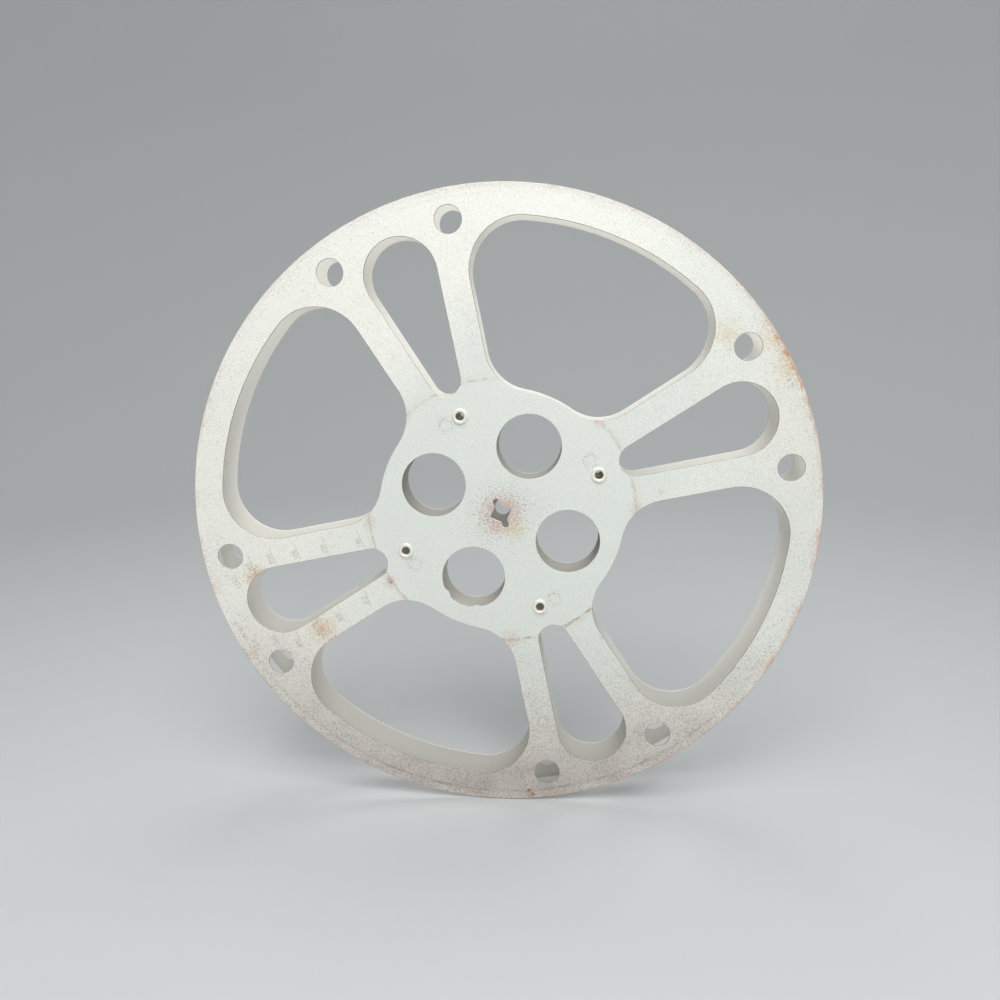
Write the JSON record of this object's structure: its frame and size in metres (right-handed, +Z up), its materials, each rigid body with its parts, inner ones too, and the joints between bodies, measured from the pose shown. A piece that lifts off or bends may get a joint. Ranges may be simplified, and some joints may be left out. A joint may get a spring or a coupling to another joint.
{
  "type": "cine film reel",
  "caption": "Spoked sheet-steel reel that winds cine film: dished, windowed flanges with a flared rim and finger holes, eyeletted to a rolled core band and keyed for a spindle.",
  "frame": {"origin": "on the spindle axis, half way between the two flanges", "axes": "+Y along the spindle axis from the front flange to the rear flange, +Z up with the reel standing on its rim, +X to the right as seen from the front"},
  "size_m": [0.3112, 0.0208, 0.3112],
  "materials": {
    "reel_paint": "pale grey-green baked enamel on pressed steel, satin, speckled, rusty at the rim and the creases",
    "eyelet_plating": "bright plated rolled steel, slightly dulled"
  },
  "bodies": {
    "root": {"front_flange": "reel_paint", "rear_flange": "reel_paint", "core_band": "reel_paint", "front_eyelet_1": "eyelet_plating", "front_eyelet_2": "eyelet_plating", "front_eyelet_3": "eyelet_plating", "front_eyelet_4": "eyelet_plating", "rear_eyelet_1": "eyelet_plating", "rear_eyelet_2": "eyelet_plating", "rear_eyelet_3": "eyelet_plating", "rear_eyelet_4": "eyelet_plating"}
  },
  "joints": []
}
